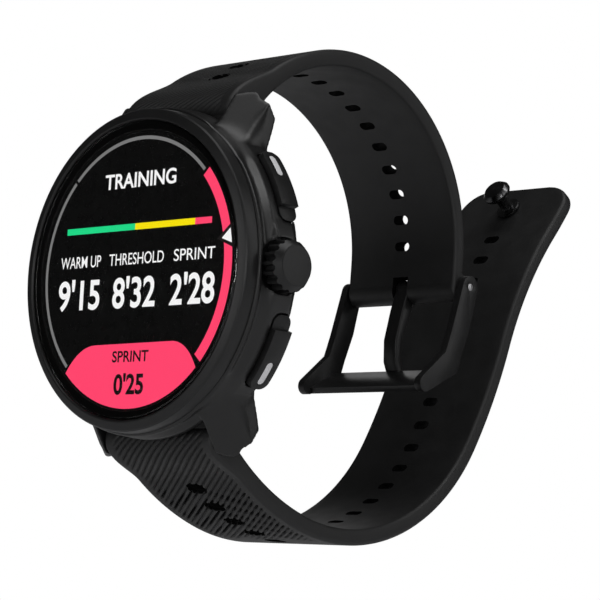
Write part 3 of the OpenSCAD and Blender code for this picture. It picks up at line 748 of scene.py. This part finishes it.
def make_mid_case():
    """The case with every moulded edge rounded, from the skin of its CAD node.

    The round pockets of the buttons keep their size: their walls aren't blended, and their
    floors move in a little, so that a pressed button clears the facets of the mesh.
    """
    source = nodes["mid_case"]
    obj = in_scene("mid_case_shell", source.data.copy())
    remesh = obj.modifiers.new("remesh", "REMESH")
    remesh.mode = "VOXEL"
    remesh.voxel_size = CASE_GRID * MM
    wrap = obj.modifiers.new("wrap", "SHRINKWRAP")
    wrap.wrap_method = "NEAREST_SURFACEPOINT"
    wrap.target = source
    apply_modifiers(obj)
    pockets = [mm_box(place + "_button_" + part)
               for part in ("cap", "spring") for place in ("upper", "lower")]
    groups = {n: obj.vertex_groups.new(name=n) for n in ("edges", "roots", "horns")}
    for v in obj.data.vertices:
        p = [c / MM for c in v.co]
        r = math.hypot(p[0], p[2])
        in_pocket = any(within(p, low, high, POCKET_MARGIN) for low, high in pockets)
        if in_pocket and POCKET_FLOOR_R - 1 < r < POCKET_FLOOR_R + 0.6:
            v.co.x *= 1 - POCKET_SHIFT / r
            v.co.z *= 1 - POCKET_SHIFT / r
            continue
        groups["edges"].add([v.index], 1, "REPLACE")
        if in_pocket:
            continue
        x, y, z = (abs(c) for c in p)
        front = smoothstep(1.5, 3.5, y) if p[1] < 0 else 0
        horn = smoothstep(10.6, 11.6, x) * smoothstep(14.5, 17.5, z)
        root = (smoothstep(11.3, 12.6, x) * smoothstep(18.6, 17, x)
                * smoothstep(13, 15.5, z) * smoothstep(23.5, 20.5, z))
        groups["horns"].add([v.index], front * horn, "REPLACE")
        groups["roots"].add([v.index], front * root, "REPLACE")
    for name, steps in (("edges", 3), ("roots", 110), ("horns", 20)):
        blend = obj.modifiers.new(name, "SMOOTH")
        blend.factor = 0.5
        blend.iterations = steps
        blend.vertex_group = name
    settle(obj, "case", "black_case", ["mid_case"], 60)


def make_bezel():
    """The bezel ring, turned smooth, with a fine polished edge round the glass."""
    low, high = mm_box("bezel")
    front, back, r = low[1], high[1], (high[0] - low[0]) / 2
    slope_r = r - 0.15
    outline = soften([(BEZEL_BORE_R, front + 0.3), (21.15, front), (21.35, front),
                      (slope_r - 0.2, front + 0.32), (slope_r, front + 0.55), (r, back),
                      (LEDGE_R, back), (LEDGE_R, LEDGE_Y), (BEZEL_BORE_R, LEDGE_Y)], 0.1)
    verts, faces = lathe(outline)
    add_piece("bezel_ring", verts, faces, "case", "satin_metal", ["bezel"], 30)


def make_horn_webs():
    """Thin webs that close the corner between each horn and the rim, in front of the strap end."""
    verts, faces = [], []
    box_faces = ((0, 1, 3, 2), (4, 5, 7, 6), (0, 1, 5, 4), (2, 3, 7, 6), (0, 2, 6, 4), (1, 3, 7, 5))
    for sx in (-1, 1):
        for sz in (-1, 1):
            base = len(verts)
            verts += [(sx * x, y, sz * z)
                      for x in (8.4, 11.3) for y in (-5.7, -5.1) for z in (20, 21.7)]
            faces += [tuple(base + i for i in f) for f in box_faces]
    add_piece("horn_webs", verts, faces, "case", "black_case")


def make_crown():
    """A knob with grip pits that run in from the case side and end round at a bright chamfer."""
    low, high = mm_box("crown_knob")
    r, y, x0, length = (high[2] - low[2]) / 2, (low[1] + high[1]) / 2, low[0], high[0] - low[0]
    rim = soften([(r - 0.25, 0), (r, 0.25), (r, length - 1.0), (r - 0.75, length - 0.06),
                  (r - 0.9, length), (NEAR_AXIS, length)], 0.1, False)
    shaft_r, shaft_depth = 1.3, 1.8
    outline = [(NEAR_AXIS, shaft_depth), (shaft_r, shaft_depth), (shaft_r, 0)]
    for (r0, h0), (r1, h1) in zip(rim, rim[1:]):
        steps = max(1, round(abs(h1 - h0) / 0.07))
        outline += [(r0 + (r1 - r0) * k / steps, h0 + (h1 - h0) * k / steps) for k in range(steps)]
    outline.append(rim[-1])
    around = CROWN_TEETH * TOOTH_STEPS
    verts, faces, n = [], [], len(outline)
    pit_depth, pit_end = 0.55, length - 1.3
    for k in range(around):
        a = 2 * math.pi * k / around
        across = r * (((k / TOOTH_STEPS) % 1) - 0.5) * 2 * math.pi / CROWN_TEETH
        for radius, h in outline:
            past = max(0, h - pit_end)
            pit = pit_depth * (1 - smoothstep(0.25, 0.55, math.hypot(across, past)))
            reach = radius - pit if radius > r - 0.7 else radius
            verts.append((x0 + h, y + reach * math.cos(a), reach * math.sin(a)))
    for k in range(around):
        a, b = k * n, ((k + 1) % around) * n
        faces += [(a + i, a + i + 1, b + i + 1, b + i) for i in range(n - 1)]
    faces += [tuple(k * n + end for k in range(around)) for end in (0, n - 1)]
    add_piece("crown_grip", verts, faces, body_of["crown_knob"], "satin_metal", ["crown_knob"], 30)


make_glass()
make_bezel()
make_mid_case()
make_horn_webs()
make_crown()


# ---------------------------------------------------------------- CAD nodes that stay

LOOK_OF = {"strap_stud": "gunmetal", "stud_backplate": "gunmetal",
           "buckle_frame": "satin_metal", "buckle_tongue": "satin_metal"}
BEVELS = {"buckle_frame": 0.25, "buckle_tongue": 0.22, "upper_button_cap": 0.16,
          "lower_button_cap": 0.16, "back_cover": 0.1}
FINE_BEVEL = 0.05
for name, node in nodes.items():
    if node.hide_render:
        continue
    node.data.materials.clear()
    node.data.materials.append(LOOKS[LOOK_OF.get(name, slot_of[name])])
    weld = node.modifiers.new("weld", "WELD")
    weld.merge_threshold = 0.002 * MM
    edge = node.modifiers.new("edge", "BEVEL")
    edge.width = BEVELS.get(name, FINE_BEVEL) * MM
    edge.segments = 3
    edge.limit_method = "ANGLE"
    edge.angle_limit = math.radians(32)
    edge.harden_normals = True
    edge.use_clamp_overlap = True
    for p in node.data.polygons:
        p.use_smooth = True


# ---------------------------------------------------------------- camera, floor and light

FLOOR_Z = -75


def look_matrix(position, forward, down):
    """Where the camera is, which way it looks and which way is down in its picture."""
    back = -Vector(forward).normalized()
    up = -Vector(down)
    up = (up - back * up.dot(back)).normalized()
    right = up.cross(back)
    turn = Matrix((right, up, back)).transposed().to_4x4()
    return Matrix.Translation(Vector(position) * MM) @ turn


camera = in_scene("camera", bpy.data.cameras.new("camera"))
camera.data.sensor_width = 36
camera.data.lens = 153.7
camera.data.clip_start = 0.01
camera.data.clip_end = 20
camera.matrix_world = look_matrix((263.64, -246.41, -43.04), (-0.6958, 0.7094, 0.1126),
                                  (-0.0423, 0.116, -0.9923))
bpy.context.scene.camera = camera

bpy.ops.mesh.primitive_circle_add(vertices=96, radius=1, fill_type="NGON",
                                  location=(0, 0, FLOOR_Z * MM))
floor = bpy.context.object
floor.name = "floor"
floor.data.materials.append(textured("floor", grey(0.8), grey(0.82), 0.7, grain=20, bump=0.0,
                                     Emission_Color=(1, 1, 1, 1), Emission_Strength=0.08))


def softbox(name, position, target, size, power):
    """A rectangular lamp that faces a target. Places and sizes are in metres, power in watts."""
    light = in_scene(name, bpy.data.lights.new(name, "AREA"))
    light.data.shape = "RECTANGLE"
    light.data.size, light.data.size_y = size
    light.data.energy = power
    light.location = position
    aim = Vector(target) - Vector(position)
    light.rotation_euler = aim.to_track_quat("-Z", "Y").to_euler()


softbox("over_strap", (0.1, 0.0, 0.7), (0, 0.03, 0), (0.5, 0.4), 1.3)
softbox("high_right", (0.45, 0.0, 0.6), (0.01, 0.04, -0.02), (0.22, 0.22), 0.9)
softbox("front", (0.2, -0.65, 0.15), (0.02, 0, 0), (0.22, 0.4), 0.3)
softbox("left_front", (-0.15, -0.58, 0.07), (0.01, 0, 0), (0.12, 0.3), 0.35)
softbox("key_right", (0.6, -0.2, 0.3), (0.02, 0.04, -0.02), (0.25, 0.25), 0.3)
softbox("beside_camera", (0.5, -0.44, 0.06), (0.02, 0.01, 0), (0.07, 0.22), 0.4)
softbox("behind_right", (0.5, 0.42, 0.25), (0.02, 0.02, 0), (0.12, 0.5), 0.4)
softbox("behind_left", (-0.5, 0.5, 0.25), (0, 0.04, -0.02), (0.35, 0.25), 0.2)


# The world is white where the camera sees it, and only a faint fill for everything else.
world = bpy.data.worlds.new("studio")
bpy.context.scene.world = world
world.use_nodes = True
sky = world.node_tree
fill, seen = sky.nodes["Background"], sky.nodes.new("ShaderNodeBackground")
for background, strength in ((fill, 0.035), (seen, 1.0)):
    background.inputs["Color"].default_value = (1, 1, 1, 1)
    background.inputs["Strength"].default_value = strength
ray = sky.nodes.new("ShaderNodeLightPath")
mix = sky.nodes.new("ShaderNodeMixShader")
sky.links.new(ray.outputs["Is Camera Ray"], mix.inputs["Fac"])
sky.links.new(fill.outputs[0], mix.inputs[1])
sky.links.new(seen.outputs[0], mix.inputs[2])
sky.links.new(mix.outputs[0], sky.nodes["World Output"].inputs["Surface"])
bpy.context.scene.view_settings.view_transform = "Standard"
